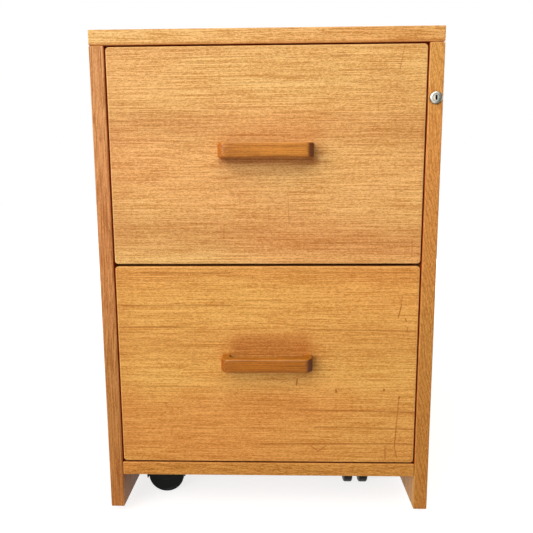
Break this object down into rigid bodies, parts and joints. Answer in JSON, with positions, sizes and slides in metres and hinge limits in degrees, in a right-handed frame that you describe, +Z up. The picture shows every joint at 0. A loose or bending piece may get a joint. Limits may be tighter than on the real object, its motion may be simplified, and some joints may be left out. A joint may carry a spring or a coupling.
{
  "type": "mobile file cabinet",
  "caption": "Low teak-veneered filing cabinet with inset file drawers on full-extension slides, wooden bar handles, a side lock and hooded twin-wheel casters.",
  "frame": {"origin": "on the floor, under the middle of the cabinet with its handles", "axes": "+X to the right of someone who faces the drawers, -Y out of the drawer fronts, +Z up"},
  "size_m": [0.445, 0.525, 0.6544],
  "materials": {
    "teak_front": "oiled teak veneer, fine horizontal grain",
    "teak_case": "oiled teak veneer",
    "teak_solid": "oiled solid teak, satin",
    "back_ply": "thin veneered panel, matte",
    "birch_ply": "clear-lacquered birch plywood",
    "zinc_steel": "zinc-plated steel",
    "bright_chrome": "polished chrome",
    "black_nylon": "moulded black nylon, satin",
    "black_tread": "moulded black nylon wheel, worn tread"
  },
  "bodies": {
    "cabinet": {"top_panel": "teak_case", "left_side_panel": "teak_case", "right_side_panel": "teak_case", "bottom_panel": "teak_case", "back_panel": "back_ply", "lock_housing": "bright_chrome", "bar_guide_upper": "zinc_steel", "bar_guide_lower": "zinc_steel", "upper_left_cabinet_member": "zinc_steel", "upper_right_cabinet_member": "zinc_steel", "lower_left_cabinet_member": "zinc_steel", "lower_right_cabinet_member": "zinc_steel", "caster_socket_front_left": "zinc_steel", "caster_socket_front_right": "zinc_steel", "caster_socket_rear_left": "zinc_steel", "caster_socket_rear_right": "zinc_steel"},
    "upper_drawer": {"upper_drawer_front": "teak_front", "upper_handle": "teak_solid", "upper_handle_screw_left": "zinc_steel", "upper_handle_screw_right": "zinc_steel", "upper_inner_front": "birch_ply", "upper_box_left_side": "birch_ply", "upper_box_right_side": "birch_ply", "upper_box_back": "birch_ply", "upper_box_bottom": "birch_ply", "upper_file_rail_left": "zinc_steel", "upper_file_rail_right": "zinc_steel", "upper_catch_pin": "zinc_steel", "upper_left_drawer_member": "zinc_steel", "upper_right_drawer_member": "zinc_steel"},
    "upper_slide_middles": {"upper_left_middle_member": "zinc_steel", "upper_right_middle_member": "zinc_steel"},
    "lower_drawer": {"lower_drawer_front": "teak_front", "lower_handle": "teak_solid", "lower_handle_screw_left": "zinc_steel", "lower_handle_screw_right": "zinc_steel", "lower_inner_front": "birch_ply", "lower_box_left_side": "birch_ply", "lower_box_right_side": "birch_ply", "lower_box_back": "birch_ply", "lower_box_bottom": "birch_ply", "lower_file_rail_left": "zinc_steel", "lower_file_rail_right": "zinc_steel", "lower_catch_pin": "zinc_steel", "lower_left_drawer_member": "zinc_steel", "lower_right_drawer_member": "zinc_steel"},
    "lower_slide_middles": {"lower_left_middle_member": "zinc_steel", "lower_right_middle_member": "zinc_steel"},
    "lock_plug": {"lock_plug": "bright_chrome"},
    "locking_bar": {"locking_bar": "zinc_steel", "locking_pin_upper": "zinc_steel", "locking_pin_lower": "zinc_steel"},
    "caster_front_left": {"caster_hood_front_left": "black_nylon"},
    "wheels_front_left": {"wheel_pair_front_left": "black_tread"},
    "caster_front_right": {"caster_hood_front_right": "black_nylon"},
    "wheels_front_right": {"wheel_pair_front_right": "black_tread"},
    "caster_rear_left": {"caster_hood_rear_left": "black_nylon"},
    "wheels_rear_left": {"wheel_pair_rear_left": "black_tread"},
    "caster_rear_right": {"caster_hood_rear_right": "black_nylon"},
    "wheels_rear_right": {"wheel_pair_rear_right": "black_tread"}
  },
  "joints": [
    {"name": "upper_drawer_slide", "type": "slide", "parent": "cabinet", "child": "upper_drawer", "axis": [0, -1, 0], "range_m": [0, 0.44]},
    {"name": "upper_middle_slide", "type": "slide", "parent": "cabinet", "child": "upper_slide_middles", "axis": [0, -1, 0], "range_m": [0, 0.22]},
    {"name": "lower_drawer_slide", "type": "slide", "parent": "cabinet", "child": "lower_drawer", "axis": [0, -1, 0], "range_m": [0, 0.44]},
    {"name": "lower_middle_slide", "type": "slide", "parent": "cabinet", "child": "lower_slide_middles", "axis": [0, -1, 0], "range_m": [0, 0.22]},
    {"name": "locking_bar_slide", "type": "slide", "parent": "cabinet", "child": "locking_bar", "axis": [0, 0, 1], "range_m": [0, 0.00566]},
    {"name": "lock_turn", "type": "hinge", "parent": "cabinet", "child": "lock_plug", "pos_m": [0.213, -0.2375, 0.5682], "axis": [0, 1, 0], "range_deg": [0, 90]},
    {"name": "swivel_front_left", "type": "hinge", "parent": "cabinet", "child": "caster_front_left", "pos_m": [-0.1335, -0.1625, 0], "axis": [0, 0, 1], "continuous": true},
    {"name": "roll_front_left", "type": "hinge", "parent": "caster_front_left", "child": "wheels_front_left", "pos_m": [-0.1555, -0.1625, 0.0265], "axis": [0, 1, 0], "continuous": true},
    {"name": "swivel_front_right", "type": "hinge", "parent": "cabinet", "child": "caster_front_right", "pos_m": [0.1335, -0.1625, 0], "axis": [0, 0, 1], "continuous": true},
    {"name": "roll_front_right", "type": "hinge", "parent": "caster_front_right", "child": "wheels_front_right", "pos_m": [0.1335, -0.1405, 0.0265], "axis": [1, 0, 0], "continuous": true},
    {"name": "swivel_rear_left", "type": "hinge", "parent": "cabinet", "child": "caster_rear_left", "pos_m": [-0.1335, 0.1875, 0], "axis": [0, 0, 1], "continuous": true},
    {"name": "roll_rear_left", "type": "hinge", "parent": "caster_rear_left", "child": "wheels_rear_left", "pos_m": [-0.1335, 0.2095, 0.0265], "axis": [1, 0, 0], "continuous": true},
    {"name": "swivel_rear_right", "type": "hinge", "parent": "cabinet", "child": "caster_rear_right", "pos_m": [0.1335, 0.1875, 0], "axis": [0, 0, 1], "continuous": true},
    {"name": "roll_rear_right", "type": "hinge", "parent": "caster_rear_right", "child": "wheels_rear_right", "pos_m": [0.1335, 0.2095, 0.0265], "axis": [1, 0, 0], "continuous": true}
  ],
  "couplings": [
    {"joint": "upper_middle_slide", "follows": "upper_drawer_slide", "ratio": 0.5},
    {"joint": "lower_middle_slide", "follows": "lower_drawer_slide", "ratio": 0.5},
    {"joint": "lock_turn", "follows": "locking_bar_slide", "rad_per_m": 277.68}
  ]
}
